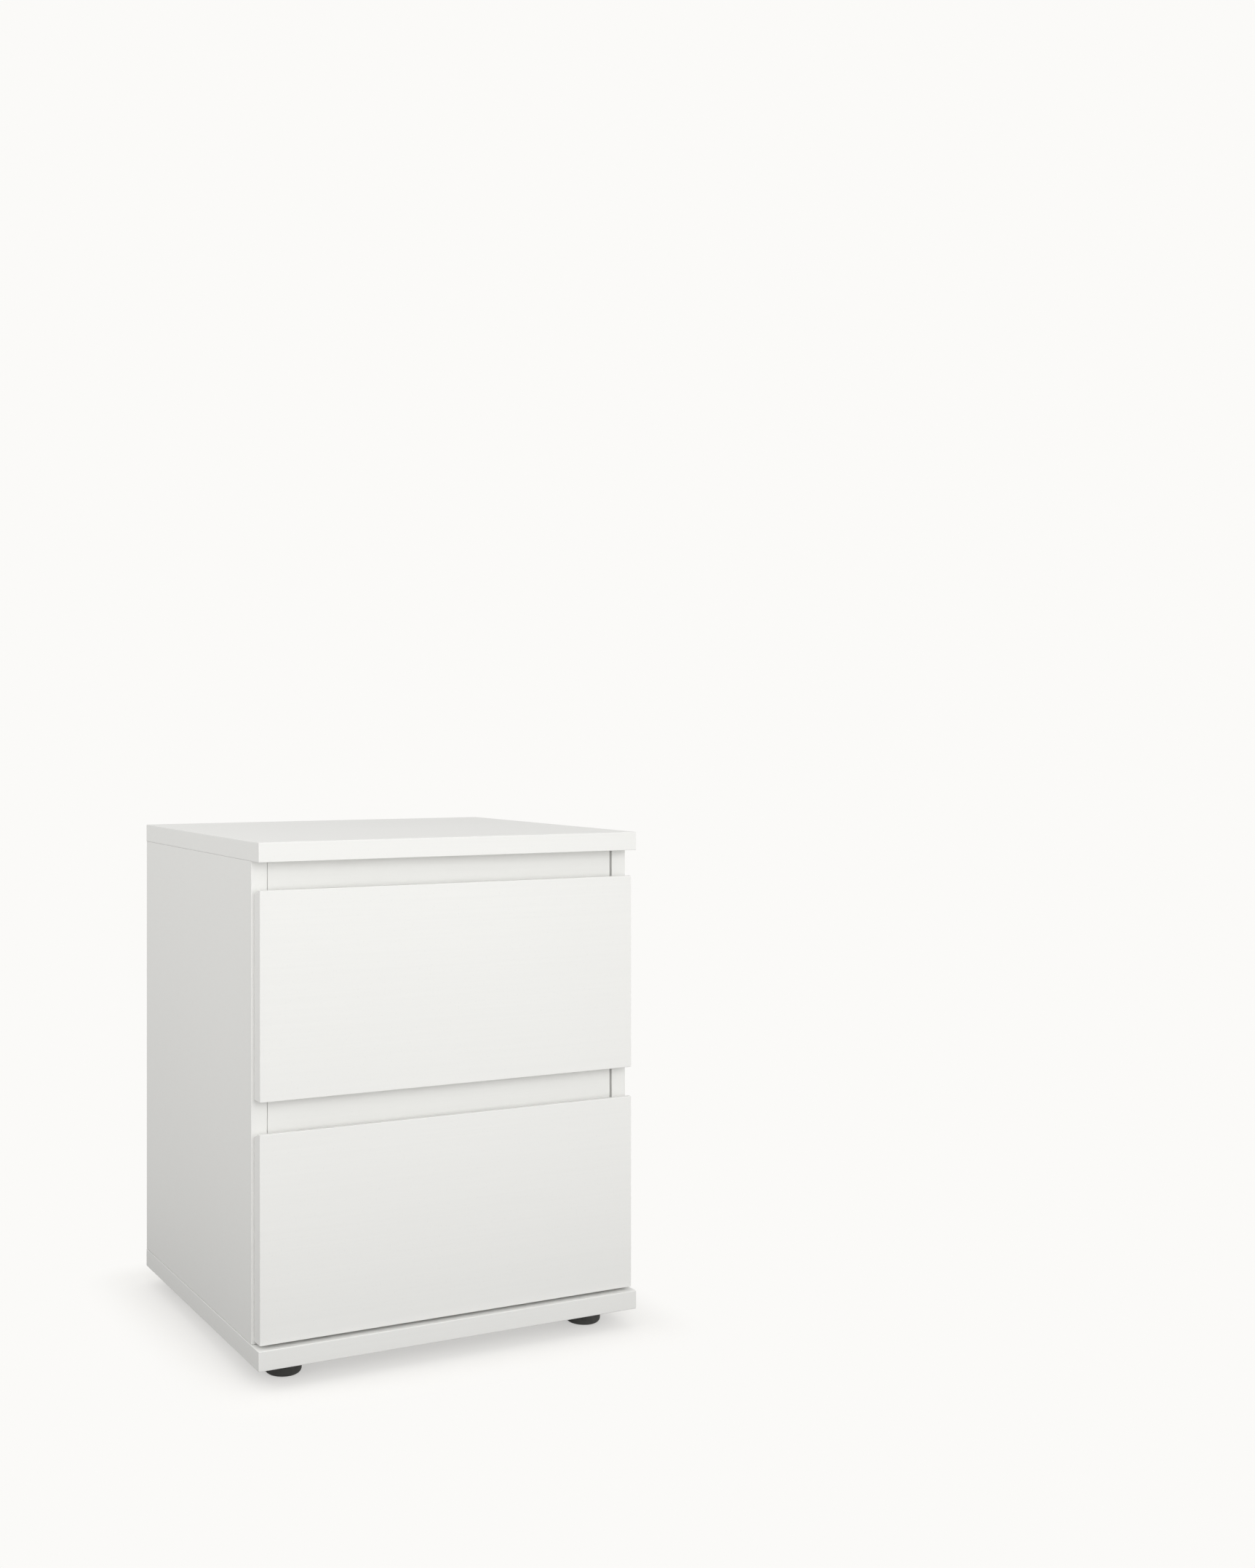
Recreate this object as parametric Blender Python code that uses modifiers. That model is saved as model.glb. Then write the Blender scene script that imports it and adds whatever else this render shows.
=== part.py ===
"""Bedside table with two drawers: white coated boards, finger gaps for handles, black round feet.

Metres, +Z up. The front looks along -Y, and the origin is on the floor, at the middle of the table.
"""

import bmesh
import bpy
from mathutils import Matrix, Vector

# ---------------------------------------------------------------- driving dimensions
WIDTH = 0.400  # top and bottom panels
DEPTH = 0.340
BODY_HEIGHT = 0.474  # underside of the bottom panel to the top
FOOT_HEIGHT = 0.018
CAP_BOARD = 0.018  # thickness of the top and bottom panels
BOARD = 0.015  # thickness of sides, rails and drawer fronts
BOX_BOARD = 0.012  # thickness of the drawer box sides and back
HARDBOARD = 0.003  # thickness of the back panel and drawer bottoms
GAP = 0.0003  # between pieces that touch

SIDE_INSET = 0.0007  # side panel behind the edge of the top
TOP_OVERHANG = 0.020  # top in front of the side panels
FRONT_SETBACK = 0.0046  # drawer front behind the edge of the top
FRONT_INSET = 0.003
FRONT_HEIGHT = 0.1905
FRONT_CLEARANCE = 0.0023  # lower front above the bottom panel
DRAWER_PITCH = 0.2195
GRIP_LAND = 0.004  # flat part of a drawer front's top edge
GRIP_DROP = 0.0052  # how far the edge slopes down behind it

RAIL_RECESS = 0.0015
RAIL_REVEAL = 0.0017  # shadow gap at the right-hand end of a rail
REVEAL_DEPTH = 0.004
UPPER_RAIL_HEIGHT = 0.045
MIDDLE_RAIL_HEIGHT = 0.070

GROOVE_DEPTH = 0.005
BACK_GROOVE_INSET = 0.0085  # back panel in front of the rear edges

BOX_CLEARANCE = 0.0125  # drawer box to side panel, taken up by a runner
BOX_LENGTH = 0.300
BOX_HEIGHT = 0.130
BOX_RISE = 0.0275  # underside of a drawer box above its front's lower edge
BOTTOM_RISE = 0.010  # drawer bottom above the lower edge of the box

SHEET = 0.0012  # steel of the runners
CHANNEL_HEIGHT = 0.0216
CHANNEL_DROP = 0.002  # underside of the fixed channel below the drawer box
CHANNEL_REACH = 0.010  # width of the fixed channel
TRACK_HEIGHT = 0.0182  # underside of the drawer runner's track above the channel
ROLLER_RADIUS = 0.0082
ROLLER_BORE = 0.0021
ROLLER_NEAR = 0.0036  # roller's face nearer the side panel
ROLLER_FAR = 0.0096
ROLLER_END = 0.012  # axle from the end of its runner
PIN_RADIUS = 0.0018
PIN_HEAD_RADIUS = 0.0032
PIN_HEAD = 0.0006

FOOT_RADIUS = 0.018
FOOT_INSET = 0.0385
FOOT_SIDES = 24
ROLLER_SIDES = 20
PEG_RADIUS = 0.004  # moulded on a foot, pressed into the bottom panel
PEG_LENGTH = 0.012
FASTENER_SIDES = 10

CAM_RADIUS = 0.0075
CAM_DEPTH = 0.0122
SMALL_CAM_RADIUS = 0.006
SMALL_CAM_DEPTH = 0.0102
CAM_SIDES = 14
CAM_SETBACK = 0.024  # cam's centre from the face that it is pulled against
CAM_SLOT = 0.0068
BOLT_SCREW_IN = 0.011
BOLT_BORE = 0.004
BOX_BOLT_RISE = 0.070  # drawer front's cam bolts above the underside of the box
SCREW_LENGTH = 0.050  # of the long screws through the bottom panel

# ---------------------------------------------------------------- places that follow
FRONT_Y = -DEPTH / 2
BACK_Y = DEPTH / 2
BOTTOM_Z = FOOT_HEIGHT + CAP_BOARD  # top face of the bottom panel
HEIGHT = FOOT_HEIGHT + BODY_HEIGHT
TOP_Z = HEIGHT - CAP_BOARD  # underside of the top panel
SIDE_OUT_X = WIDTH / 2 - SIDE_INSET
SIDE_IN_X = SIDE_OUT_X - BOARD
SIDE_FRONT_Y = FRONT_Y + TOP_OVERHANG
FRONT_FACE_Y = FRONT_Y + FRONT_SETBACK
FRONT_REAR_Y = FRONT_FACE_Y + BOARD
RAIL_Y = SIDE_FRONT_Y + RAIL_RECESS
LOWER_FRONT_Z = BOTTOM_Z + FRONT_CLEARANCE
BACK_PANEL_Y = BACK_Y - BACK_GROOVE_INSET - HARDBOARD
BOX_OUT_X = SIDE_IN_X - BOX_CLEARANCE
BOX_IN_X = BOX_OUT_X - BOX_BOARD
BOX_FRONT_Y = FRONT_REAR_Y + GAP
BOX_BACK_Y = BOX_FRONT_Y + BOX_LENGTH
RUNNER_FRONT_Y = SIDE_FRONT_Y + 0.002
RUNNER_BACK_Y = RUNNER_FRONT_Y + BOX_LENGTH
FIXED_AXLE_Y = RUNNER_FRONT_Y + ROLLER_END
MOVING_AXLE_Y = BOX_BACK_Y - ROLLER_END
JOINT_YS = {"front": -0.100, "rear": 0.110}  # cams and long screws along the side panels
SIDES = {"left": -1, "right": 1}
DRAWERS = {"upper": LOWER_FRONT_Z + DRAWER_PITCH, "lower": LOWER_FRONT_Z}
RAILS = {
    "upper_rail": (TOP_Z - GAP - UPPER_RAIL_HEIGHT, UPPER_RAIL_HEIGHT),
    "middle_rail": (LOWER_FRONT_Z + FRONT_HEIGHT - 0.020, MIDDLE_RAIL_HEIGHT),
}

X = Vector((1, 0, 0))
Y = Vector((0, 1, 0))
Z = Vector((0, 0, 1))


# ---------------------------------------------------------------- scene and materials
def clear_scene():
    for obj in list(bpy.data.objects):
        bpy.data.objects.remove(obj)


def collection(name):
    made = bpy.data.collections.new(name)
    bpy.context.scene.collection.children.link(made)
    return made


def material(name, colour, roughness, metallic=0.0):
    made = bpy.data.materials.new(name)
    made.use_nodes = True
    shader = made.node_tree.nodes["Principled BSDF"]
    shader.inputs["Base Color"].default_value = (*colour, 1)
    shader.inputs["Roughness"].default_value = roughness
    shader.inputs["Metallic"].default_value = metallic
    return made


clear_scene()
PARTS = collection("bedside_table")
CUTTERS = collection("cutters")
WHITE_BOARD = material("white_board", (0.86, 0.86, 0.84), 0.45)
HARD_WHITE = material("white_hardboard", (0.82, 0.82, 0.80), 0.55)
BLACK_PLASTIC = material("black_plastic", (0.03, 0.03, 0.03), 0.4)
WHITE_STEEL = material("white_steel", (0.84, 0.84, 0.82), 0.35, 0.0)
NYLON = material("white_nylon", (0.78, 0.78, 0.74), 0.4)
ZINC = material("zinc", (0.60, 0.60, 0.60), 0.35, 1.0)


# ---------------------------------------------------------------- modelling helpers
def new_object(name, bm, surface, group=None):
    mesh = bpy.data.meshes.new(name)
    bm.to_mesh(mesh)
    bm.free()
    mesh.materials.append(surface)
    made = bpy.data.objects.new(name, mesh)
    (group or PARTS).objects.link(made)
    return made


def add_box(bm, low, high):
    """A box between two corners."""
    low, high = Vector(low), Vector(high)
    place = Matrix.Translation((low + high) / 2) @ Matrix.Diagonal((*(high - low), 1))
    bmesh.ops.create_cube(bm, size=1, matrix=place)


def add_rod(bm, start, along, length, radius, sides=FASTENER_SIDES):
    """A plain cylinder that starts at a point."""
    turn = along.to_track_quat("Z", "Y").to_matrix().to_4x4()
    place = Matrix.Translation(start + along * length / 2) @ turn
    bmesh.ops.create_cone(
        bm,
        cap_ends=True,
        segments=sides,
        radius1=radius,
        radius2=radius,
        depth=length,
        matrix=place,
    )


def helper(name, bm):
    """A hidden shape that a Boolean takes away from a piece or joins to it."""
    made = new_object(name, bm, WHITE_BOARD, CUTTERS)
    made.hide_render = True
    made.display_type = "WIRE"
    return made


def boolean(obj, bm, what, operation="DIFFERENCE"):
    """Cuts what bm holds out of obj, or joins it to obj. It is given in world coordinates."""
    modifier = obj.modifiers.new(what, "BOOLEAN")
    modifier.operation = operation
    modifier.object = helper(f"{obj.name}_{what}", bm)


def round_edges(obj, width):
    bevel = obj.modifiers.new("rounded_edges", "BEVEL")
    bevel.width = width
    bevel.segments = 2
    bevel.limit_method = "ANGLE"


def board(name, low, high, surface=WHITE_BOARD, edge=0.0006):
    """A board between two corners, with its edges eased. Its origin is at its lowest corner."""
    low, high = Vector(low), Vector(high)
    bm = bmesh.new()
    add_box(bm, (0, 0, 0), high - low)
    made = new_object(name, bm, surface)
    made.location = low
    if edge:
        round_edges(made, edge)
    return made


def turned(name, profile, surface, sides, place, axis=Z, closed=False):
    """A turned piece, from (radius, height) pairs that run down its outer side.

    A closed profile has a hole in the middle. An open one starts and ends on the axis.
    """
    bm = bmesh.new()
    points = [bm.verts.new((radius, 0, height)) for radius, height in profile]
    ends = points[1:] + points[:1] if closed else points[1:]
    for start, end in zip(points, ends):
        bm.edges.new((start, end))
    made = new_object(name, bm, surface)
    made.location = place
    made.rotation_euler = axis.to_track_quat("Z", "Y").to_euler()
    screw = made.modifiers.new("turned", "SCREW")
    screw.steps = screw.render_steps = sides
    screw.use_merge_vertices = True
    screw.merge_threshold = 0.00001
    screw.use_smooth_shade = True
    return made


# ---------------------------------------------------------------- fasteners
def cam_bolt(name, face, along):
    """A cam bolt: its thread is in the board behind face, and its head reaches the cam."""
    tip, neck = CAM_SETBACK + 0.0005, CAM_SETBACK - 0.002
    profile = [
        (0, tip),
        (0.0029, tip),
        (0.0029, neck),
        (0.0016, neck),
        (0.0016, neck - 0.003),
        (0.0026, neck - 0.003),
        (0.0026, 0.0026),
        (0.0036, 0.0018),
        (0.0036, 0.0004),
        (0.0026, -0.0005),
        (0.0026, 0.0005 - BOLT_SCREW_IN),
        (0, 0.0005 - BOLT_SCREW_IN),
    ]
    turned(name, profile, ZINC, FASTENER_SIDES, face, along)


def bolt_bore(bm, face, along):
    """The bore for a cam bolt in the board that it is screwed into."""
    add_rod(bm, face - along * BOLT_SCREW_IN, along, BOLT_SCREW_IN + 0.002, BOLT_BORE)


def bolt_passage(bm, face, along):
    """The bore for a cam bolt in the board that holds the cam, as far as the cam's centre."""
    add_rod(bm, face - along * 0.002, along, CAM_SETBACK + 0.002, BOLT_BORE)


def cam_lock(name, face, inward, towards_bolt, radius, depth, bolt_depth):
    """A cam lock flush with a board's face, slotted for the bolt's head and for a screwdriver."""
    profile = [
        (0, -GAP),
        (radius - 0.0004, -GAP),
        (radius, -GAP - 0.0006),
        (radius, -depth),
        (0, -depth),
    ]
    lock = turned(name, profile, ZINC, CAM_SIDES, face, -inward)
    across = inward.cross(towards_bolt)
    half = (across + inward) * CAM_SLOT / 2
    centre = face + inward * bolt_depth
    far = centre + towards_bolt * (radius + 0.004)
    slot = bmesh.new()
    add_between(slot, centre - towards_bolt * 0.002 - half, far + half)
    boolean(lock, slot, "bolt_slot")
    groove = bmesh.new()
    reach = across * radius * 0.7 + towards_bolt * 0.0006
    add_between(groove, face - inward * 0.001 - reach, face + inward * 0.0016 + reach)
    boolean(lock, groove, "driver_slot")


def add_between(bm, one, other):
    """A box with one and other as opposite corners, whichever way round they are."""
    low = [min(pair) for pair in zip(one, other)]
    high = [max(pair) for pair in zip(one, other)]
    add_box(bm, low, high)


def cam_pocket(bm, face, inward, radius, depth):
    add_rod(bm, face - inward * 0.002, inward, depth + GAP + 0.002, radius + GAP, CAM_SIDES)


def long_screw(name, place):
    """A connecting screw with its head sunk in the underside of the bottom panel."""
    top = SCREW_LENGTH
    profile = [
        (0, top),
        (0.0024, top - 0.003),
        (0.0026, 0.0060),
        (0.0047, 0.0030),
        (0.0047, 0.0008),
        (0.0022, 0.0008),
        (0.0018, 0.0028),
        (0, 0.0028),
    ]
    turned(name, profile, ZINC, FASTENER_SIDES, place)


# ---------------------------------------------------------------- carcass
def side_middle(side):
    return side * (SIDE_IN_X + BOARD / 2)


def cap_panel(name, low_z, groove_z):
    """The top panel or the bottom one, with the groove that holds the back panel."""
    low = (-WIDTH / 2, FRONT_Y, low_z)
    panel = board(name, low, (WIDTH / 2, BACK_Y, low_z + CAP_BOARD), edge=0.0015)
    reach = SIDE_IN_X + GROOVE_DEPTH
    groove = bmesh.new()
    near, far = BACK_PANEL_Y - GAP, BACK_PANEL_Y + HARDBOARD + GAP
    add_box(groove, (-reach, near, groove_z), (reach, far, groove_z + GROOVE_DEPTH + 0.002))
    boolean(panel, groove, "back_groove")
    return panel


def top_panel():
    panel = cap_panel("top_panel", TOP_Z, TOP_Z - 0.002)
    bores = bmesh.new()
    for side in SIDES.values():
        for y in JOINT_YS.values():
            bolt_bore(bores, Vector((side_middle(side), y, TOP_Z)), -Z)
    boolean(panel, bores, "bolt_bores")


def bottom_panel():
    panel = cap_panel("bottom_panel", FOOT_HEIGHT, BOTTOM_Z - GROOVE_DEPTH)
    bores, sinks = bmesh.new(), bmesh.new()
    for side in SIDES.values():
        for y in JOINT_YS.values():
            under = Vector((side_middle(side), y, FOOT_HEIGHT - 0.002))
            add_rod(bores, under, Z, CAP_BOARD + 0.004, 0.0030)
            add_rod(sinks, under, Z, 0.0085, 0.0050)
    for place in foot_places().values():
        add_rod(bores, place - Z * 0.002, Z, PEG_LENGTH + GAP + 0.002, PEG_RADIUS + GAP)
    boolean(panel, bores, "bores")
    boolean(panel, sinks, "sinks")


def side_panel(word, side):
    low_x, high_x = sorted((side * SIDE_IN_X, side * SIDE_OUT_X))
    low = (low_x, SIDE_FRONT_Y, BOTTOM_Z + GAP)
    panel = board(f"side_panel_{word}", low, (high_x, BACK_Y, TOP_Z - GAP))
    bores, pockets = bmesh.new(), bmesh.new()
    near = (side * (SIDE_IN_X - 0.002), BACK_PANEL_Y - GAP, BOTTOM_Z - 0.002)
    far = (side * (SIDE_IN_X + GROOVE_DEPTH), BACK_PANEL_Y + HARDBOARD + GAP, TOP_Z + 0.002)
    add_between(bores, near, far)
    for y in JOINT_YS.values():
        middle = side_middle(side)
        bolt_passage(bores, Vector((middle, y, TOP_Z)), -Z)
        add_rod(bores, Vector((middle, y, BOTTOM_Z - 0.002)), Z, 0.036, 0.0029)
        face = Vector((side * SIDE_IN_X, y, TOP_Z - CAM_SETBACK))
        cam_pocket(pockets, face, X * side, CAM_RADIUS, CAM_DEPTH)
    boolean(panel, bores, "bores")
    boolean(panel, pockets, "cam_pockets")


def front_rail(name, low_z, height):
    """A rail between the side panels, set back a little, with a shadow gap at its right-hand end."""
    reach = SIDE_IN_X - GAP
    made = board(name, (-reach, RAIL_Y, low_z), (reach, RAIL_Y + BOARD, low_z + height))
    reveal = bmesh.new()
    near = (SIDE_IN_X - RAIL_REVEAL, RAIL_Y - 0.002, low_z - 0.002)
    far = (SIDE_IN_X + 0.002, RAIL_Y + REVEAL_DEPTH, low_z + height + 0.002)
    add_between(reveal, near, far)
    boolean(made, reveal, "reveal")


def back_panel():
    reach = GROOVE_DEPTH - 2 * GAP
    low = (-SIDE_IN_X - reach, BACK_PANEL_Y, BOTTOM_Z - reach)
    high = (SIDE_IN_X + reach, BACK_PANEL_Y + HARDBOARD, TOP_Z + reach)
    board("back_panel", low, high, HARD_WHITE, edge=0)


def carcass_fasteners():
    """Cam locks and bolts under the top, and long screws up through the bottom panel."""
    for depth_word, y in JOINT_YS.items():
        for word, side in SIDES.items():
            corner = f"{depth_word}_{word}"
            face = Vector((side * SIDE_IN_X, y, TOP_Z - CAM_SETBACK))
            cam_lock(
                f"top_cam_lock_{corner}", face, X * side, Z, CAM_RADIUS, CAM_DEPTH, BOARD / 2
            )
            cam_bolt(f"top_cam_bolt_{corner}", Vector((side_middle(side), y, TOP_Z)), -Z)
            long_screw(f"bottom_screw_{corner}", Vector((side_middle(side), y, FOOT_HEIGHT)))


def foot_places():
    """The middle of each foot's top."""
    return {
        f"{depth_word}_{word}": Vector((side * (WIDTH / 2 - FOOT_INSET), y, FOOT_HEIGHT))
        for depth_word, y in (("front", FRONT_Y + FOOT_INSET), ("rear", BACK_Y - FOOT_INSET))
        for word, side in SIDES.items()
    }


def feet():
    """Moulded feet, each with a peg that is pressed into the bottom panel."""
    r, low = FOOT_RADIUS, -FOOT_HEIGHT
    profile = [
        (0, PEG_LENGTH),
        (PEG_RADIUS - 0.001, PEG_LENGTH),
        (PEG_RADIUS, PEG_LENGTH - 0.001),
        (PEG_RADIUS, -GAP),
        (r - 0.0010, -GAP),
        (r, -GAP - 0.0010),
        (r - 0.0006, low + 0.0035),
        (r - 0.0014, low + 0.0012),
        (r - 0.0028, low),
        (0, low),
    ]
    for corner, place in foot_places().items():
        turned(f"foot_{corner}", profile, BLACK_PLASTIC, FOOT_SIDES, place)


# ---------------------------------------------------------------- runners
def channel_z(front_z):
    """Underside of the fixed channels of the drawer whose front starts at front_z."""
    return front_z + BOX_RISE - CHANNEL_DROP


def axle_z(front_z):
    return channel_z(front_z) + SHEET + GAP + ROLLER_RADIUS


def bent_sheet(name, outline, start_y, end_y):
    """Bent sheet steel: an open outline in X and Z, drawn out along Y and given its thickness."""
    bm = bmesh.new()
    line = [bm.verts.new((x, start_y, z)) for x, z in outline]
    edges = [bm.edges.new(pair) for pair in zip(line, line[1:])]
    drawn = bmesh.ops.extrude_edge_only(bm, edges=edges)["geom"]
    moved = [element for element in drawn if isinstance(element, bmesh.types.BMVert)]
    bmesh.ops.translate(bm, verts=moved, vec=(0, end_y - start_y, 0))
    bmesh.ops.recalc_face_normals(bm, faces=bm.faces)
    made = new_object(name, bm, WHITE_STEEL)
    shell = made.modifiers.new("sheet", "SOLIDIFY")
    shell.thickness = SHEET
    shell.offset = 0
    shell.use_even_offset = True
    return made


def add_axle(runner, side, y, z, root, tip):
    """Joins a riveted axle to a runner. Its root and its tip are measured from the side panel."""
    along = X * side if tip < root else -X * side
    start = Vector((side * (SIDE_IN_X - root), y, z))
    length = abs(tip - root)
    pin, head = bmesh.new(), bmesh.new()
    add_rod(pin, start, along, length + PIN_HEAD / 2, PIN_RADIUS)
    add_rod(head, start + along * length, along, PIN_HEAD, PIN_HEAD_RADIUS)
    boolean(runner, pin, "axle", "UNION")
    boolean(runner, head, "axle_head", "UNION")


def fixed_runner(name, front_z, side):
    """The channel on the side panel, open towards the drawer, whose roller runs between its lips."""
    low = channel_z(front_z)
    web_x = side * (SIDE_IN_X - GAP - SHEET / 2)
    lip_x = side * (SIDE_IN_X - CHANNEL_REACH)
    low_lip, high_lip = low + SHEET / 2, low + CHANNEL_HEIGHT - SHEET / 2
    outline = [(lip_x, low_lip), (web_x, low_lip), (web_x, high_lip), (lip_x, high_lip)]
    made = bent_sheet(name, outline, RUNNER_FRONT_Y, RUNNER_BACK_Y)
    root = GAP + SHEET / 2
    add_axle(made, side, FIXED_AXLE_Y, axle_z(front_z), root, ROLLER_FAR + GAP)


def drawer_runner(name, front_z, side):
    """The runner under a drawer side: a lip below it, a web, and the track on the fixed roller."""
    box_z = front_z + BOX_RISE
    web_x = side * (BOX_OUT_X + GAP + SHEET / 2)
    under_x = side * (BOX_OUT_X - 0.010)
    track_x = side * (SIDE_IN_X - 0.003)
    lip_z = box_z - GAP - SHEET / 2
    track_z = channel_z(front_z) + TRACK_HEIGHT + SHEET / 2
    outline = [(under_x, lip_z), (web_x, lip_z), (web_x, track_z), (track_x, track_z)]
    made = bent_sheet(name, outline, BOX_FRONT_Y + 0.001, BOX_BACK_Y)
    root = BOX_CLEARANCE - GAP - SHEET / 2
    add_axle(made, side, MOVING_AXLE_Y, axle_z(front_z), root, ROLLER_NEAR - GAP)


def roller(name, front_z, side, y):
    """A nylon roller. Its origin is on its axle."""
    r, b, half = ROLLER_RADIUS, ROLLER_BORE, (ROLLER_FAR - ROLLER_NEAR) / 2
    profile = [(r, half), (r, -half), (b, -half), (b, half)]
    x = side * (SIDE_IN_X - (ROLLER_NEAR + ROLLER_FAR) / 2)
    turned(name, profile, NYLON, ROLLER_SIDES, (x, y, axle_z(front_z)), X, closed=True)


# ---------------------------------------------------------------- drawers
def drawer_front(word, front_z):
    """A front whose top edge is flat in front and slopes down behind, for the fingers."""
    top = front_z + FRONT_HEIGHT
    outline = [
        (FRONT_FACE_Y, front_z),
        (FRONT_REAR_Y, front_z),
        (FRONT_REAR_Y, top - GRIP_DROP),
        (FRONT_FACE_Y + GRIP_LAND, top),
        (FRONT_FACE_Y, top),
    ]
    reach = WIDTH / 2 - FRONT_INSET
    bm = bmesh.new()
    end = bm.faces.new([bm.verts.new((-reach, y, z)) for y, z in outline])
    drawn = bmesh.ops.extrude_face_region(bm, geom=[end])["geom"]
    moved = [element for element in drawn if isinstance(element, bmesh.types.BMVert)]
    bmesh.ops.translate(bm, verts=moved, vec=(2 * reach, 0, 0))
    bmesh.ops.recalc_face_normals(bm, faces=bm.faces)
    made = new_object(f"{word}_drawer_front", bm, WHITE_BOARD)
    round_edges(made, 0.0006)
    cuts = bmesh.new()
    groove_x = BOX_IN_X + GROOVE_DEPTH
    low_z = front_z + BOX_RISE + BOTTOM_RISE - GAP
    near = (-groove_x, FRONT_REAR_Y - GROOVE_DEPTH, low_z)
    add_box(cuts, near, (groove_x, FRONT_REAR_Y + 0.002, low_z + HARDBOARD + 2 * GAP))
    for side in SIDES.values():
        bolt_bore(cuts, box_bolt(front_z, side), Y)
    boolean(made, cuts, "groove_and_bores")


def box_bolt(front_z, side):
    """Where a drawer side's cam bolt leaves the drawer front."""
    x = side * (BOX_OUT_X - BOX_BOARD / 2)
    return Vector((x, FRONT_REAR_Y, front_z + BOX_RISE + BOX_BOLT_RISE))


def box_cam_face(front_z, side):
    place = box_bolt(front_z, side) + Y * CAM_SETBACK
    return Vector((side * BOX_OUT_X, place.y, place.z))


def drawer_side(word, front_z, side_word, side):
    box_z = front_z + BOX_RISE
    low_x, high_x = sorted((side * BOX_IN_X, side * BOX_OUT_X))
    low = (low_x, BOX_FRONT_Y, box_z)
    made = board(f"{word}_drawer_side_{side_word}", low, (high_x, BOX_BACK_Y, box_z + BOX_HEIGHT))
    cuts, pocket = bmesh.new(), bmesh.new()
    low_z = box_z + BOTTOM_RISE - GAP
    near = (side * (BOX_IN_X - 0.002), BOX_FRONT_Y - 0.002, low_z)
    far = (side * (BOX_IN_X + GROOVE_DEPTH), BOX_BACK_Y + 0.002, low_z + HARDBOARD + 2 * GAP)
    add_between(cuts, near, far)
    bolt_passage(cuts, box_bolt(front_z, side), Y)
    face = box_cam_face(front_z, side)
    cam_pocket(pocket, face, -X * side, SMALL_CAM_RADIUS, SMALL_CAM_DEPTH)
    boolean(made, cuts, "groove_and_bore")
    boolean(made, pocket, "cam_pocket")


def drawer_back(word, front_z):
    """The back stands on the drawer bottom, between the sides."""
    low_z = front_z + BOX_RISE + BOTTOM_RISE + HARDBOARD + GAP
    reach = BOX_IN_X - GAP
    low = (-reach, BOX_BACK_Y - GAP - BOX_BOARD, low_z)
    board(f"{word}_drawer_back", low, (reach, BOX_BACK_Y - GAP, front_z + BOX_RISE + BOX_HEIGHT))


def drawer_bottom(word, front_z):
    low_z = front_z + BOX_RISE + BOTTOM_RISE
    reach = BOX_IN_X + GROOVE_DEPTH - GAP
    low = (-reach, FRONT_REAR_Y - GROOVE_DEPTH + GAP, low_z)
    high = (reach, BOX_BACK_Y - GAP, low_z + HARDBOARD)
    board(f"{word}_drawer_bottom", low, high, HARD_WHITE, edge=0)


def drawer(word, front_z):
    """A drawer on its runners. All that moves with it hangs on one empty, on the slide's line."""
    drawer_front(word, front_z)
    drawer_back(word, front_z)
    drawer_bottom(word, front_z)
    for side_word, side in SIDES.items():
        drawer_side(word, front_z, side_word, side)
        bolt, face = box_bolt(front_z, side), box_cam_face(front_z, side)
        cam_bolt(f"{word}_drawer_cam_bolt_{side_word}", bolt, Y)
        cam_lock(
            f"{word}_drawer_cam_lock_{side_word}",
            face,
            -X * side,
            -Y,
            SMALL_CAM_RADIUS,
            SMALL_CAM_DEPTH,
            BOX_BOARD / 2,
        )
        drawer_runner(f"{word}_drawer_runner_{side_word}", front_z, side)
        roller(f"{word}_drawer_roller_{side_word}", front_z, side, MOVING_AXLE_Y)
        fixed_runner(f"fixed_runner_{word}_{side_word}", front_z, side)
        roller(f"fixed_roller_{word}_{side_word}", front_z, side, FIXED_AXLE_Y)
    slide = bpy.data.objects.new(f"{word}_slide", None)
    PARTS.objects.link(slide)
    slide.location = (0, FRONT_FACE_Y, front_z)
    for piece in list(PARTS.objects):
        if piece.name.startswith(f"{word}_drawer_"):
            piece.parent = slide
            piece.location -= slide.location


def build():
    top_panel()
    bottom_panel()
    for word, side in SIDES.items():
        side_panel(word, side)
    for name, (low_z, height) in RAILS.items():
        front_rail(name, low_z, height)
    back_panel()
    carcass_fasteners()
    feet()
    for word, front_z in DRAWERS.items():
        drawer(word, front_z)


build()
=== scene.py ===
"""The looks of a white nightstand with two drawers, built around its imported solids.

Metres, +Z up. The front looks along -Y. The origin is on the floor, under the middle of the top.
"""

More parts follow.
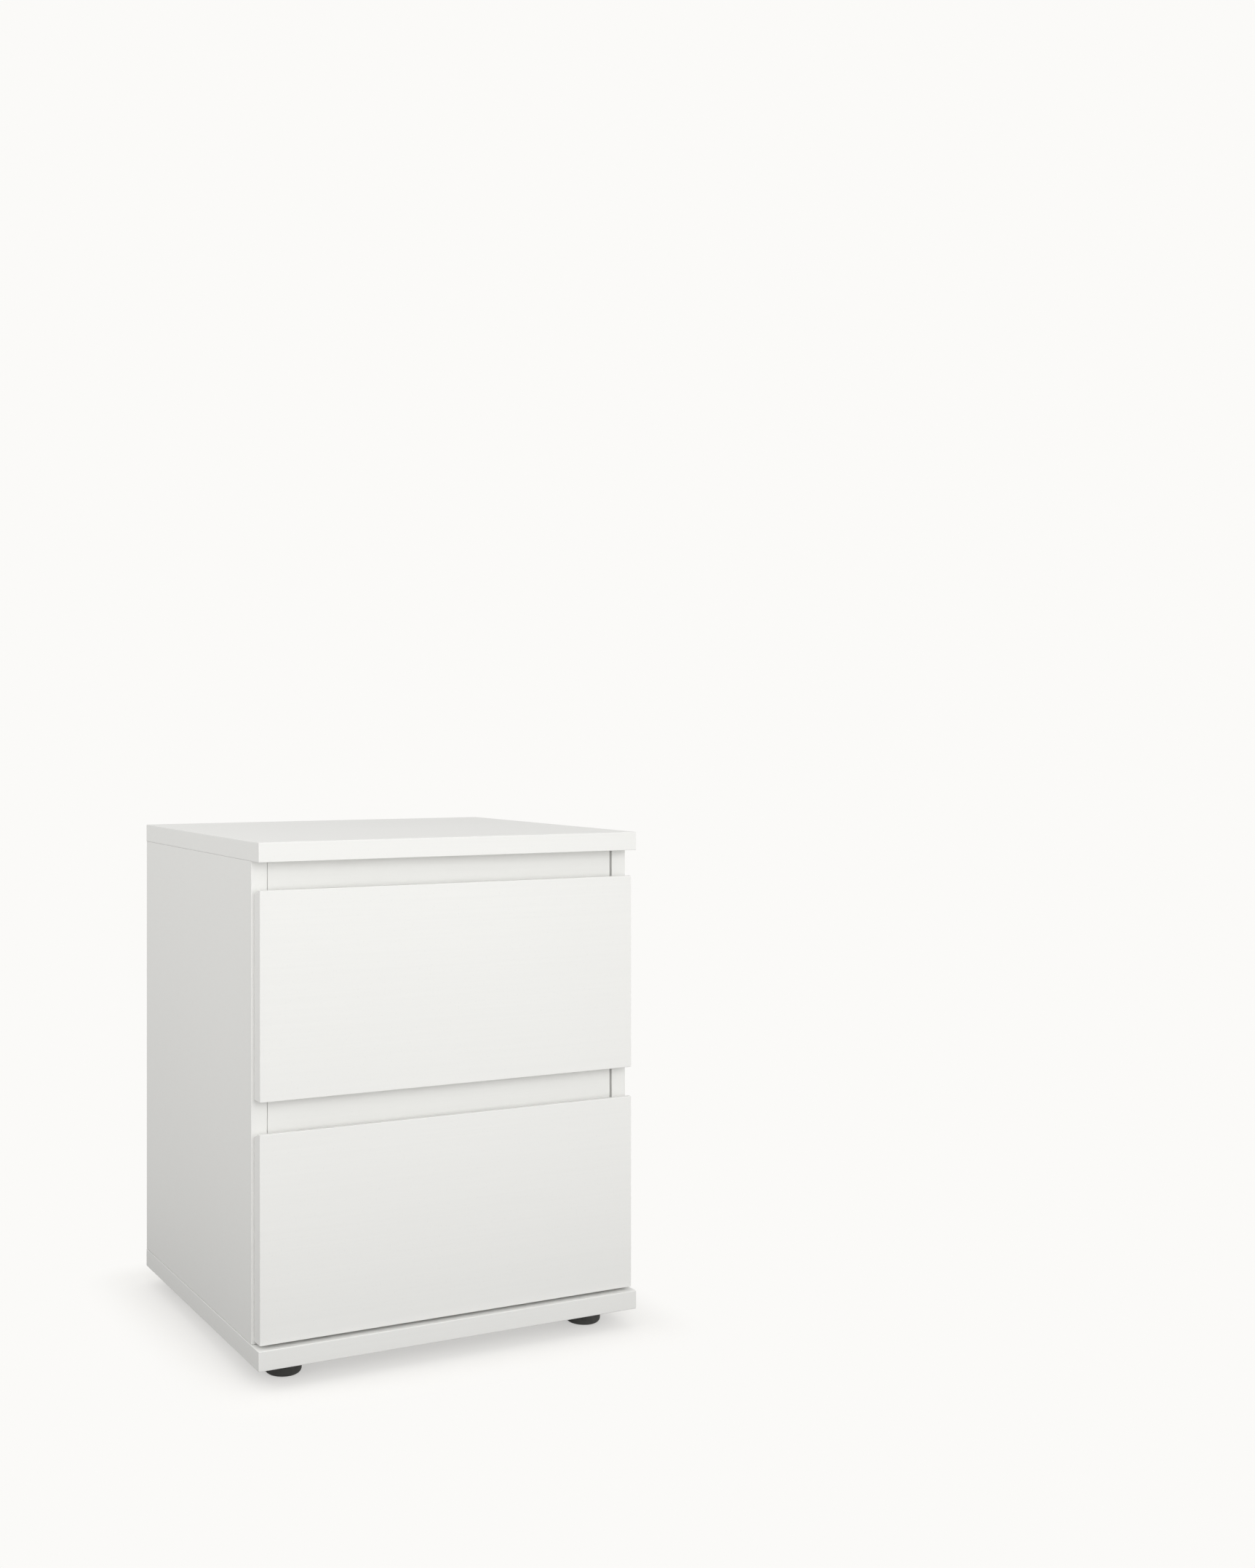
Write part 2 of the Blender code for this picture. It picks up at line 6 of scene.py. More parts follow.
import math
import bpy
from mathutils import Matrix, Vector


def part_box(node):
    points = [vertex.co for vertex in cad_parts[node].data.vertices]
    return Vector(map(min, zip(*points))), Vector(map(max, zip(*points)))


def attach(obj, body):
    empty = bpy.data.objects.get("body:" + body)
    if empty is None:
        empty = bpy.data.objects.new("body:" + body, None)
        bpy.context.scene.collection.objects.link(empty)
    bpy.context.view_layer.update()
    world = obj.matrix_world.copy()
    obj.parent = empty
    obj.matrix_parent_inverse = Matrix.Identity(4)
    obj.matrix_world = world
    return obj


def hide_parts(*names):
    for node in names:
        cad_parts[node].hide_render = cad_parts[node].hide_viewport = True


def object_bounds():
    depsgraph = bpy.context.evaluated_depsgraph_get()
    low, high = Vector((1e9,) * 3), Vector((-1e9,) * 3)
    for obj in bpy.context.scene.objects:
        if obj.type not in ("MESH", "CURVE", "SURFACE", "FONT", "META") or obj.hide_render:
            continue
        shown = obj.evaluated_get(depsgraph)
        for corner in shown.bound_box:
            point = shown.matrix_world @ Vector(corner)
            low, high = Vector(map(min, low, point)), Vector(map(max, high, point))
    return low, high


bl_info = {
    "name": "White Nightstand",
    "version": (1, 0, 0),
    "blender": (4, 5, 0),
    "location": "View3D > Sidebar > Nightstand",
    "description": "Builds a nightstand of coated boards with two drawers, in a plain studio",
    "category": "Object",
}

import bmesh
import bpy
from bpy.props import FloatProperty, FloatVectorProperty, IntProperty, PointerProperty
from mathutils import Matrix, Vector

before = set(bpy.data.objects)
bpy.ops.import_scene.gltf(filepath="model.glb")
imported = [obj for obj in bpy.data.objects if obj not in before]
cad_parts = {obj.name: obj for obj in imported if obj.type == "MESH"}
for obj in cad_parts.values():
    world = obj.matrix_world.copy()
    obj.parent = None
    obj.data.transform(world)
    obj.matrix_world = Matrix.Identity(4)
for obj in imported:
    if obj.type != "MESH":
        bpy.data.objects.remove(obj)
CAD_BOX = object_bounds()

X = Vector((1, 0, 0))
Y = Vector((0, 1, 0))
Z = Vector((0, 0, 1))
GAP = 0.0003  # between pieces that touch
CLOSED = 0.00025  # taken off that gap where a joint shows as a hairline
PROUD = 0.0004  # coating on the outer faces of the side panels
OUTSIDE = 0.003  # how far outside a piece its cutters begin
SIDES = {"left": -1, "right": 1}
DRAWERS = ("upper", "lower")


# ---------------------------------------------------------------- settings
class BoardSettings(bpy.types.PropertyGroup):
    colour: FloatVectorProperty(
        name="Coating",
        description="Colour of the coated boards",
        subtype="COLOR",
        size=3,
        min=0,
        max=1,
        default=(0.799, 0.799, 0.781),
    )
    shade: FloatProperty(
        name="Streaks",
        description="How much darker the faint streaks in the coating are",
        subtype="FACTOR",
        min=0,
        max=0.2,
        default=0.015,
    )
    cap_radius: FloatProperty(
        name="Cap edge radius",
        description="Rounding of the edges of the top and bottom panels",
        unit="LENGTH",
        min=0.0002,
        max=0.006,
        default=0.0005,
    )
    edge_radius: FloatProperty(
        name="Edge radius",
        description="Rounding of the edges of all other boards",
        unit="LENGTH",
        min=0.0002,
        max=0.003,
        default=0.0004,
    )
    reveal: FloatProperty(
        name="Rail reveal",
        description="Width of the shadow gap at the right-hand end of a rail",
        unit="LENGTH",
        min=0.0003,
        max=0.005,
        default=0.0017,
    )
    joint: FloatProperty(
        name="Rail joint",
        description="Width of the fine gap at the left-hand end of a rail",
        unit="LENGTH",
        min=0.0001,
        max=0.002,
        default=0.0010,
    )
    band: FloatProperty(
        name="Edge band",
        description="Part of the edge band that shows on a board's faces, past the rounding",
        unit="LENGTH",
        min=0.0001,
        max=0.002,
        default=0.0005,
    )


class FrontSettings(bpy.types.PropertyGroup):
    land: FloatProperty(
        name="Grip land",
        description="Flat part of the top edge of a drawer front",
        unit="LENGTH",
        min=0.001,
        max=0.010,
        default=0.004,
    )
    drop: FloatProperty(
        name="Grip drop",
        description="How far the top edge slopes down behind the flat part",
        unit="LENGTH",
        min=0.0,
        max=0.015,
        default=0.0052,
    )
    trim: FloatProperty(
        name="Lower trim",
        description="Shaved off the lower front's underside, for a clear gap over the bottom panel",
        unit="LENGTH",
        min=0.0,
        max=0.002,
        default=0.0008,
    )


class FootSettings(bpy.types.PropertyGroup):
    colour: FloatVectorProperty(
        name="Foot colour",
        description="Colour of the moulded feet",
        subtype="COLOR",
        size=3,
        min=0,
        max=1,
        default=(0.055, 0.055, 0.051),
    )
    rim: FloatProperty(
        name="Rim radius",
        description="Rounding of a foot's lower rim",
        unit="LENGTH",
        min=0.0005,
        max=0.006,
        default=0.0045,
    )
    steps: IntProperty(
        name="Steps",
        description="Steps round a foot",
        min=24,
        max=128,
        default=72,
    )


class FittingSettings(bpy.types.PropertyGroup):
    sheet: FloatProperty(
        name="Sheet",
        description="Thickness of the steel of the runners",
        unit="LENGTH",
        min=0.0005,
        max=0.002,
        default=0.0012,
    )
    bend: FloatProperty(
        name="Bend radius",
        description="Radius of the bends in the runners, at the middle of the sheet",
        unit="LENGTH",
        min=0.0007,
        max=0.003,
        default=0.0012,
    )
    screw_head: FloatProperty(
        name="Screw head",
        description="Radius of the heads of the runners' screws",
        unit="LENGTH",
        min=0.002,
        max=0.005,
        default=0.0034,
    )


class StudioSettings(bpy.types.PropertyGroup):
    backdrop: FloatVectorProperty(
        name="Backdrop",
        description="Colour of the floor and of the space behind it",
        subtype="COLOR",
        size=3,
        min=0,
        max=1,
        default=(0.965, 0.957, 0.939),
    )
    shadow_reach: FloatProperty(
        name="Shadow reach",
        description="How far from the nightstand the floor takes its shadow",
        unit="LENGTH",
        min=0.05,
        max=2,
        default=0.075,
    )
    shadow_depth: FloatProperty(
        name="Shadow depth",
        description="How dark the floor's shadow is, as a part of a full one",
        subtype="FACTOR",
        min=0,
        max=1,
        default=0.52,
    )
    bounce: FloatProperty(
        name="Bounce",
        description="Part of the floor's light that reaches the nightstand",
        subtype="FACTOR",
        min=0,
        max=1,
        default=0.60,
    )
    # Painted shade: close to the nightstand, the floor's colour for bounced light is darkened by
    # this factor.
    bounce_near: FloatProperty(
        name="Bounce nearby",
        description="Part of the bounce that is left close to the nightstand, in its own shade",
        subtype="FACTOR",
        min=0,
        max=1,
        default=0.55,
    )
    ambient: FloatProperty(
        name="Room light",
        description="Strength of the even light from all round",
        min=0,
        max=4,
        default=0.83,
    )
    power: FloatProperty(
        name="Lamps",
        description="Power of all the lamps, as a part of their own",
        min=0,
        max=10,
        default=1.0,
    )
    lens: FloatProperty(
        name="Lens",
        description="Focal length of the camera",
        subtype="DISTANCE_CAMERA",
        min=10,
        max=200,
        default=39.14,
    )
    lens_shift: FloatVectorProperty(
        name="Lens shift",
        description="Sideways and upward shift of the lens, in frame heights",
        size=2,
        default=(0.15, -0.0312),
    )
    camera_place: FloatVectorProperty(
        name="Camera place",
        description="Where the camera stands",
        subtype="TRANSLATION",
        size=3,
        default=(-0.7406, -1.6010, 0.5882),
    )
    camera_turn: FloatVectorProperty(
        name="Camera turn",
        description="Pitch, roll and heading of the camera",
        subtype="EULER",
        size=3,
        default=(math.radians(90), 0, math.radians(-25.175)),
    )


SETTINGS = {
    "board": BoardSettings,
    "front": FrontSettings,
    "foot": FootSettings,
    "fitting": FittingSettings,
    "studio": StudioSettings,
}


class NightstandSettings(bpy.types.PropertyGroup):
    board: PointerProperty(type=BoardSettings, name="Boards", description="Coated boards")
    front: PointerProperty(type=FrontSettings, name="Fronts", description="Drawer fronts")
    foot: PointerProperty(type=FootSettings, name="Feet", description="Moulded feet")
    fitting: PointerProperty(type=FittingSettings, name="Fittings", description="Steel fittings")
    studio: PointerProperty(type=StudioSettings, name="Studio", description="Floor, light, camera")


def settings():
    return bpy.context.scene.nightstand


# ---------------------------------------------------------------- materials
class Value:
    """A number or a colour that varies over a surface. Arithmetic on a number adds Math nodes."""

    def __init__(self, surface, socket):
        self.surface = surface
        self.socket = socket

    def math(self, operation, *operands):
        inputs = dict(enumerate(operands))
        return self.surface.node("ShaderNodeMath", {"operation": operation}, inputs)

    def __add__(self, other):
        return self.math("ADD", self, other)

    def __radd__(self, other):
        return self.math("ADD", other, self)

    def __sub__(self, other):
        return self.math("SUBTRACT", self, other)

    def __rsub__(self, other):
        return self.math("SUBTRACT", other, self)

    def __mul__(self, other):
        return self.math("MULTIPLY", self, other)

    def __rmul__(self, other):
        return self.math("MULTIPLY", other, self)


class Surface:
    """A material with its Principled shader. Every other node comes from node."""

    def __init__(self, name, **constants):
        self.material = bpy.data.materials.new(name)
        self.material.use_nodes = True
        self.tree = self.material.node_tree
        self.shader = self.tree.nodes["Principled BSDF"]
        for words, value in constants.items():
            label = words.replace("_", " ").title().replace("Ior", "IOR")
            self.shader.inputs[label].default_value = value

    def node(self, kind, options=(), inputs=(), output=0):
        """Adds a node, sets its options and its sockets, and returns one of its outputs."""
        made = self.tree.nodes.new(kind)
        for name, value in dict(options).items():
            setattr(made, name, value)
        for socket, value in dict(inputs).items():
            self.feed(made.inputs[socket], value)
        return Value(self, made.outputs[output])

    def feed(self, socket, value):
        if isinstance(value, Value):
            self.tree.links.new(value.socket, socket)
        else:
            socket.default_value = value

    def noise(self, scale, stretch=(1, 1, 1), detail=2.0, roughness=0.5):
        """Noise from 0 to 1 on the piece's own coordinates. Scale is in features a metre."""
        place = self.node("ShaderNodeTexCoord", output="Object")
        size = tuple(scale * part for part in stretch)
        mapped = self.node("ShaderNodeMapping", inputs={"Vector": place, "Scale": size})
        inputs = {"Vector": mapped, "Scale": 1.0, "Detail": detail, "Roughness": roughness}
        return self.node("ShaderNodeTexNoise", inputs=inputs)

    def spread(self, value, low, high):
        """Value from low to high, stretched smoothly to 0 to 1."""
        options = {"interpolation_type": "SMOOTHSTEP"}
        inputs = {"Value": value, "From Min": low, "From Max": high}
        return self.node("ShaderNodeMapRange", options, inputs)

    def blend(self, factor, first, second):
        """A colour between two colours."""
        inputs = {0: factor, 6: as_colour(first), 7: as_colour(second)}
        return self.node("ShaderNodeMix", {"data_type": "RGBA"}, inputs, 2)

    def vector(self, operation, *operands, output=0):
        inputs = dict(enumerate(operands))
        return self.node("ShaderNodeVectorMath", {"operation": operation}, inputs, output)

    def bump(self, height, strength, distance):
        inputs = {"Height": height, "Strength": strength, "Distance": distance}
        self.feed(self.shader.inputs["Normal"], self.node("ShaderNodeBump", inputs=inputs))

    def paint(self, colour, roughness):
        self.feed(self.shader.inputs["Base Color"], colour)
        self.feed(self.shader.inputs["Roughness"], roughness)


def as_colour(value):
    return value if isinstance(value, Value) else (*value, 1)


def shaded(colour, factor):
    return tuple(channel * factor for channel in colour)


def coated_board():
    """White coating: faint long streaks, a slow drift of tone, and a fine pearl texture."""
    board = settings().board
    colour = tuple(board.colour)
    surface = Surface("coated_board", ior=1.48)
    streaks = surface.noise(1.0, (5, 70, 420), detail=3.0, roughness=0.6)
    drift = surface.noise(4.0, detail=1.0)
    tone = surface.spread(streaks * 0.6 + drift * 0.4, 0.30, 0.70)
    painted = surface.blend(tone, shaded(colour, 1 - board.shade), colour)
    pearl = surface.noise(1600, detail=2.0)
    speck = surface.spread(surface.noise(700, detail=0.0), 0.72, 0.80)
    speckled = surface.blend(speck * 0.35, painted, shaded(colour, 0.90))
    surface.paint(speckled, 0.40 + streaks * 0.10 + pearl * 0.06)
    surface.bump(pearl + streaks * 0.5, 0.10, 0.00012)
    return surface.material


def edge_band():
    """The plastic band on a board's edges: a little smoother, with fine lines along it."""
    colour = tuple(settings().board.colour)
    surface = Surface("edge_band", ior=1.50)
    lines = surface.noise(1.0, (12, 12, 900), detail=2.0)
    drift = surface.noise(9.0, detail=1.0)
    painted = surface.blend(drift, shaded(colour, 0.985), shaded(colour, 1.012))
    surface.paint(painted, 0.34 + lines * 0.10)
    surface.bump(lines, 0.06, 0.0001)
    return surface.material


def glue_line():
    """The hairline of glue between the edge band and the coating."""
    colour = tuple(settings().board.colour)
    surface = Surface("glue_line")
    breaks = surface.spread(surface.noise(60, detail=3.0), 0.35, 0.65)
    painted = surface.blend(breaks, shaded(colour, 0.80), shaded(colour, 0.96))
    surface.paint(painted, 0.5 + breaks * 0.2)
    return surface.material


def white_hardboard():
    """Lacquered hardboard: matt, with a soft mottle of fibres under the paint."""
    surface = Surface("white_hardboard", ior=1.45)
    fibres = surface.noise(1.0, (260, 90, 90), detail=4.0, roughness=0.7)
    mottle = surface.noise(45, detail=3.0)
    tone = surface.spread(fibres * 0.5 + mottle * 0.5, 0.32, 0.68)
    painted = surface.blend(tone, (0.735, 0.728, 0.705), (0.775, 0.770, 0.750))
    surface.paint(painted, 0.52 + fibres * 0.16)
    surface.bump(fibres + mottle * 0.4, 0.18, 0.0002)
    return surface.material


def moulded_plastic():
    """Black plastic with a fine sparked texture, a little paler where it is rubbed."""
    colour = tuple(settings().foot.colour)
    surface = Surface("moulded_plastic", ior=1.54)
    grain = surface.noise(2200, detail=3.0, roughness=0.6)
    drift = surface.noise(60, detail=2.0)
    rubbed = surface.spread(drift * 0.7 + grain * 0.3, 0.42, 0.75)
    painted = surface.blend(rubbed, colour, shaded(colour, 1.9))
    surface.paint(painted, 0.26 + grain * 0.12 + rubbed * 0.08)
    surface.bump(grain, 0.15, 0.0001)
    return surface.material


def powder_coat():
    """White powder coat on the runners: the soft dimples of the baked powder."""
    surface = Surface("powder_coat", ior=1.50)
    dimples = surface.noise(650, detail=1.0)
    drift = surface.noise(30, detail=2.0)
    painted = surface.blend(drift, (0.74, 0.74, 0.725), (0.80, 0.80, 0.785))
    surface.paint(painted, 0.26 + dimples * 0.14)
    surface.bump(dimples, 0.22, 0.0002)
    return surface.material


def nylon():
    """Off-white nylon, slightly cloudy."""
    surface = Surface("nylon", ior=1.53)
    cloud = surface.noise(140, detail=3.0)
    painted = surface.blend(cloud, (0.66, 0.65, 0.60), (0.76, 0.75, 0.71))
    surface.paint(painted, 0.30 + cloud * 0.18)
    surface.bump(cloud, 0.08, 0.0001)
    return surface.material


def zinc_plate():
    """Bright zinc with small spangles and handling marks."""
    surface = Surface("zinc_plate", metallic=1.0)
    spangle = surface.noise(420, detail=4.0, roughness=0.65)
    marks = surface.spread(surface.noise(1.0, (90, 90, 1400), detail=2.0), 0.45, 0.75)
    painted = surface.blend(spangle, (0.50, 0.50, 0.50), (0.72, 0.73, 0.74))
    surface.paint(painted, 0.24 + spangle * 0.16 + marks * 0.12)
    surface.bump(spangle, 0.10, 0.0001)
    return surface.material


def material(make):
    """The material that a function makes, made once."""
    return bpy.data.materials.get(make.__name__) or make()


# ---------------------------------------------------------------- shapes
def add_box(bm, low, high):
    low, high = Vector(tuple(low)), Vector(tuple(high))
    place = Matrix.Translation((low + high) / 2) @ Matrix.Diagonal((*(high - low), 1))
    bmesh.ops.create_cube(bm, size=1, matrix=place)


def grown(box, by):
    """A box made bigger all round."""
    low, high = box
    margin = Vector((by, by, by))
    return low - margin, high + margin


def arc(centre, radius, start, end, steps):
    """Points on an arc in a profile. Angles are in degrees, from along the axis to outwards."""
    points = []
    for step in range(steps + 1):
        turn = math.radians(start + (end - start) * step / steps)
        points.append((centre[0] + radius * math.cos(turn), centre[1] + radius * math.sin(turn)))
    return points


def add_turned(bm, profile, place, axis, steps=40):
    """Spins (distance along the axis, radius) pairs round it. Points on the axis are closed up."""
    across = axis.orthogonal().normalized()
    rim = [bm.verts.new(place + axis * along + across * radius) for along, radius in profile]
    edges = [bm.edges.new(pair) for pair in zip(rim, rim[1:])]
    bmesh.ops.spin(
        bm,
        geom=rim + edges,
        cent=place,
        axis=axis,
        angle=math.tau,
        steps=steps,
        use_merge=True,
        use_duplicate=False,
    )
    bmesh.ops.remove_doubles(bm, verts=bm.verts, dist=1e-6)
    bmesh.ops.recalc_face_normals(bm, faces=bm.faces)


def rounded(corner, radius, start, end, steps=5):
    """Points of a fillet at a right-angled corner of an outline, between two directions."""
    first, last = Vector(start).normalized(), Vector(end).normalized()
    centre = Vector(corner) + (first + last) * radius
    points = []
    for step in range(steps + 1):
        turn = step / steps * math.pi / 2
        points.append(centre - last * radius * math.cos(turn) - first * radius * math.sin(turn))
    return points


def carved(bm, cutter):
    """bm with what cutter holds taken out of it. Both are used up."""
    pair = []
    for name, part in (("carving", bm), ("cutter", cutter)):
        mesh = bpy.data.meshes.new(name)
        part.to_mesh(mesh)
        part.free()
        made = bpy.data.objects.new(name, mesh)
        bpy.context.scene.collection.objects.link(made)
        pair.append(made)
    body, tool = pair
    for _ in BOARD:
        body.data.materials.append(None)
    taken = body.modifiers.new("taken", "BOOLEAN")
    taken.operation = "DIFFERENCE"
    taken.object = tool
    bpy.context.view_layer.update()
    graph = bpy.context.evaluated_depsgraph_get()
    left = bmesh.new()
    left.from_mesh(body.evaluated_get(graph).to_mesh())
    if not left.faces:
        raise RuntimeError("nothing is left after the cut")
    for made in pair:
        mesh = made.data
        bpy.data.objects.remove(made)
        bpy.data.meshes.remove(mesh)
    return left


def soften(bm, radius, segments=4, edges=None):
    """Rounds some edges, or all of them."""
    bmesh.ops.bevel(
        bm,
        geom=edges or bm.edges[:],
        affect="EDGES",
        offset=radius,
        segments=segments,
        profile=0.5,
        material=-1,
        clamp_overlap=True,
    )


def banded(bm, broad_axis):
    """Sets a board's flat faces in from its rounded edges, and marks the glue line on the broad two.

    Materials: 0 is the coating, 1 the edge band and 2 the glue line.
    """
    band, glue, square = settings().board.band, 0.00014, 0.9999
    bm.normal_update()
    flats = [face for face in bm.faces if max(map(abs, face.normal)) > square]
    broad = [face for face in flats if abs(face.normal.dot(broad_axis)) > square]
    bmesh.ops.inset_individual(bm, faces=flats, thickness=band, use_even_offset=True)
    for face in bm.faces:
        face.material_index = 0 if face in broad else 1
    rims = bmesh.ops.inset_individual(bm, faces=broad, thickness=glue, use_even_offset=True)
    for face in rims["faces"]:
        face.material_index = 0 if face in broad else 2


def board(low, high, broad_axis, radius=None, boxes=(), rods=()):
    """A board between two corners, with banded edges. Boxes and rods are taken out of it."""
    bm = bmesh.new()
    add_box(bm, low, high)
    soften(bm, radius or settings().board.edge_radius)
    banded(bm, broad_axis)
    return with_cuts(bm, boxes, rods)


def with_cuts(bm, boxes=(), rods=()):
    """bm with boxes and rods taken out of it. A rod is its two ends and its radius."""
    if not boxes and not rods:
        return bm
    cutter = bmesh.new()
    for low, high in boxes:
        add_box(cutter, low, high)
    for start, end, radius in rods:
        way = end - start
        ends = [(0, 0), (0, radius), (way.length, radius), (way.length, 0)]
        add_turned(cutter, ends, start, way.normalized(), 32)
    return carved(bm, cutter)


def with_cross(bm, outer, inner, along, reach, half_width):
    """bm with a screwdriver's cross cut in it, between two points on the cross's axis."""
    across = (inner - outer).normalized().cross(along)
    for long_way, short_way in ((along, across), (across, along)):
        out = long_way * reach + short_way * half_width
        cutter = bmesh.new()
        corners = list(zip(outer - out, inner + out))
        add_box(cutter, map(min, corners), map(max, corners))
        bm = carved(bm, cutter)
    return bm


def piece(name, bm, makers, body, replaced=()):
    """Makes the finished piece, and hangs it on its body."""
    mesh = bpy.data.meshes.new(name)
    bm.to_mesh(mesh)
    bm.free()
    mesh.materials.clear()
    for make in makers:
        mesh.materials.append(material(make))
    mesh.shade_smooth()
    mesh.set_sharp_from_angle(angle=math.radians(40))
    made = bpy.data.objects.new(name, mesh)
    bpy.context.scene.collection.objects.link(made)
    if replaced:
        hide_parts(*replaced)
    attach(made, body)
    return made


BOARD = (coated_board, edge_band, glue_line)


def pocket(lock):
    """The round pocket for a cam lock, as a rod from outside the board to the lock's far end."""
    low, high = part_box(lock)
    middle, size = (low + high) / 2, high - low
    side = math.copysign(1, middle.x)
    inward = X * (side if "top_cam" in lock else -side)
    start = middle - inward * (size.x / 2 + OUTSIDE)
    end = middle + inward * (size.x / 2 + GAP)
    return start, end, size.z / 2 + GAP


def corner_names():
    """The four corners of the carcass, as the names of its feet and fittings say them."""
    return [f"{depth}_{side}" for depth in ("front", "rear") for side in SIDES]


# ---------------------------------------------------------------- operators
class NIGHTSTAND_OT_cap_panels(bpy.types.Operator):
    """Make the top and bottom panels"""

    bl_idname = "nightstand.cap_panels"
    bl_label = "Top and bottom panels"

    def execute(self, context):
        radius = settings().board.cap_radius
        groove = grown(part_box("back_panel"), GAP)
        top = board(*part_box("top_panel"), Z, radius, boxes=[groove])
        piece("visual_top_panel", top, BOARD, "carcass", ["top_panel"])
        sink_depth, sink_radius = 0.0060, 0.0050
        sinks = []
        for corner in corner_names():
            low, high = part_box(f"bottom_screw_{corner}")
            start = Vector(((low.x + high.x) / 2, (low.y + high.y) / 2, low.z - OUTSIDE))
            sinks.append((start, start + Z * (OUTSIDE + sink_depth), sink_radius))
        bottom = board(*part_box("bottom_panel"), Z, radius, boxes=[groove], rods=sinks)
        piece("visual_bottom_panel", bottom, BOARD, "carcass", ["bottom_panel"])
        return {"FINISHED"}


class NIGHTSTAND_OT_side_panels(bpy.types.Operator):
    """Make the side panels, with the pockets for the cam locks"""

    bl_idname = "nightstand.side_panels"
    bl_label = "Side panels"

    def execute(self, context):
        groove = grown(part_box("back_panel"), GAP)
        for side, sign in SIDES.items():
            node = f"side_panel_{side}"
            low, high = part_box(node)
            high.z += CLOSED
            low.y -= CLOSED
            outer = high if sign > 0 else low
            outer.x += sign * PROUD
            rods = [pocket(f"top_cam_lock_{depth}_{side}") for depth in ("front", "rear")]
            made = board(low, high, X, boxes=[groove], rods=rods)
            piece(f"visual_{node}", made, BOARD, "carcass", [node])
        return {"FINISHED"}


class NIGHTSTAND_OT_rails(bpy.types.Operator):
    """Make the two front rails, with a fine joint at the left and a shadow gap at the right"""

    bl_idname = "nightstand.rails"
    bl_label = "Front rails"

    def execute(self, context):
        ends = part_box("side_panel_left")[1].x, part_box("side_panel_right")[0].x
        gaps = settings().board.joint, settings().board.reveal
        gap_depth = 0.004
        for node in ("upper_rail", "middle_rail"):
            low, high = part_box(node)
            cuts = []
            for end, gap in zip(ends, gaps):
                near = Vector((end - gap, low.y - OUTSIDE, low.z - OUTSIDE))
                far = Vector((end + gap, low.y + gap_depth, high.z + OUTSIDE))
                cuts.append((near, far))
            made = board(low, high, Y, boxes=cuts)
            piece(f"visual_{node}", made, BOARD, "carcass", [node])
        return {"FINISHED"}


class NIGHTSTAND_OT_back_panel(bpy.types.Operator):
    """Make the back panel"""

    bl_idname = "nightstand.back_panel"
    bl_label = "Back panel"

    def execute(self, context):
        hardboard("back_panel", "carcass")
        return {"FINISHED"}


def hardboard(node, body):
    """A thin sheet with barely broken edges."""
    bm = bmesh.new()
    add_box(bm, *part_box(node))
    soften(bm, 0.0003, 2)
    piece(f"visual_{node}", bm, [white_hardboard], body, [node])


class NIGHTSTAND_OT_feet(bpy.types.Operator):
    """Make the moulded feet, each with its peg and a hollow underside"""

    bl_idname = "nightstand.feet"
    bl_label = "Feet"

    def execute(self, context):
        foot = settings().foot
        under_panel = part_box("bottom_panel")[0].z - GAP
        for corner in corner_names():
            node = f"foot_{corner}"
            low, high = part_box(node)
            place = Vector(((low.x + high.x) / 2, (low.y + high.y) / 2, 0))
            radius = (high.x - low.x) / 2
            bm = bmesh.new()
            profile = foot_profile(radius, under_panel, high.z, foot.rim)
            add_turned(bm, profile, place, Z, foot.steps)
            piece(f"visual_{node}", bm, [moulded_plastic], "carcass", [node])
        return {"FINISHED"}


def foot_profile(radius, top, peg_top, rim):
    """From the hollow underside, round the rim and up the slightly tapered wall to the peg."""
    hollow, taper, shoulder, peg, collar = 0.0085, 0.0006, 0.0008, 0.0040, 0.0040
    base = radius - taper
    profile = [(0.0010, 0), (0.0010, hollow), (0.0008, hollow + 0.0007), (0, hollow + 0.0015)]
    profile += arc((rim, base - rim), rim, 180, 90, 7)
    profile += [(top - collar - 0.0005, radius - 0.0001), (top - collar, radius)]
    profile += arc((top - shoulder, radius - shoulder), shoulder, 90, 0, 4)
    profile += [(top, peg), (peg_top - 0.001, peg), (peg_top, peg - 0.001), (peg_top, 0)]
    return profile


class NIGHTSTAND_OT_drawer_fronts(bpy.types.Operator):
    """Make the drawer fronts, sloped behind their top edge for the fingers"""

    bl_idname = "nightstand.drawer_fronts"
    bl_label = "Drawer fronts"

    def execute(self, context):
        for word in DRAWERS:
            node = f"{word}_drawer_front"
            groove = grown(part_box(f"{word}_drawer_bottom"), GAP)
            low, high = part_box(node)
            if word == "lower":
                low.z += settings().front.trim
            made = with_cuts(sloped_front(low, high), boxes=[groove])
            piece(f"visual_{node}", made, BOARD, f"{word}_drawer", [node])
        return {"FINISHED"}


def sloped_front(low, high):
    """A drawer front, with its top edge sloped down behind a flat land."""
    front = settings().front
    bm = bmesh.new()
    add_box(bm, low, high)
    edge = Vector((0, low.y + front.land, high.z))
    slope = Vector((0, high.y - edge.y, -front.drop))
    out = slope.cross(X).normalized()
    if out.z < 0:
        out.negate()
    geometry = bm.verts[:] + bm.edges[:] + bm.faces[:]
    bmesh.ops.bisect_plane(bm, geom=geometry, plane_co=edge, plane_no=out, clear_outer=True)
    bmesh.ops.holes_fill(bm, edges=bm.edges[:])
    bmesh.ops.recalc_face_normals(bm, faces=bm.faces)
    soften(bm, settings().board.edge_radius)
    banded(bm, Y)
    return bm


